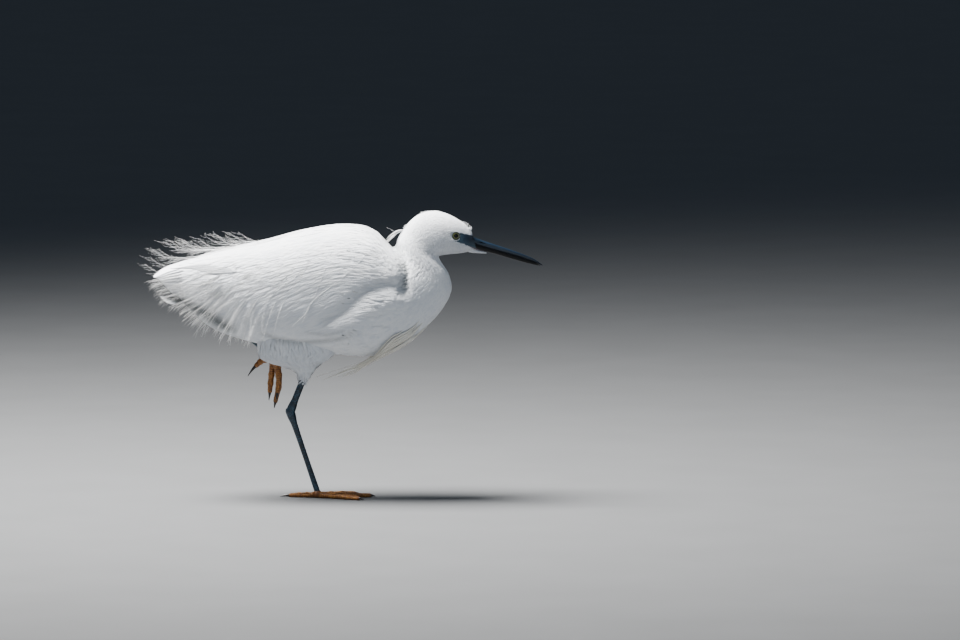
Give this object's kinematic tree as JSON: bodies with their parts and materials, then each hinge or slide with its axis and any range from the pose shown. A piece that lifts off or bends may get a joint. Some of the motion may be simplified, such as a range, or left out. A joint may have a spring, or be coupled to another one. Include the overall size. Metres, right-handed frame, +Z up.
{
  "type": "little egret model",
  "caption": "Still life-size little egret wading on one leg, neck drawn in and dark bill held forward, with loose breeding plumes on back and breast.",
  "frame": {"origin": "middle of the standing foot's sole, on the floor", "axes": "+X towards the bill, +Y towards the bird's left, +Z up"},
  "size_m": [0.474, 0.1137, 0.3313],
  "materials": {
    "plumage": "soft white feathers",
    "bare_face": "smooth bare skin",
    "bill_horn": "satin horn",
    "eye": "wet gloss",
    "leg_skin": "scaled skin",
    "toe_skin": "scaled skin",
    "claw_horn": "satin horn"
  },
  "bodies": {
    "root": {"torso": "plumage", "neck_lower": "plumage", "neck_upper": "plumage", "head": "plumage", "mantle": "plumage", "wing_left": "plumage", "wing_right": "plumage", "tail": "plumage", "thigh_left": "plumage", "thigh_right": "plumage", "lore_left": "bare_face", "lore_right": "bare_face", "bill_upper": "bill_horn", "bill_lower": "bill_horn", "eye_left": "eye", "eye_right": "eye", "shank_left": "leg_skin", "shank_right": "leg_skin", "shin_left": "leg_skin", "shin_right": "leg_skin", "foot_left": "toe_skin", "foot_right": "toe_skin", "claw_left_inner": "claw_horn", "claw_left_middle": "claw_horn", "claw_left_outer": "claw_horn", "claw_left_hind": "claw_horn", "claw_right_inner": "claw_horn", "claw_right_middle": "claw_horn", "claw_right_outer": "claw_horn", "claw_right_hind": "claw_horn"}
  },
  "joints": []
}
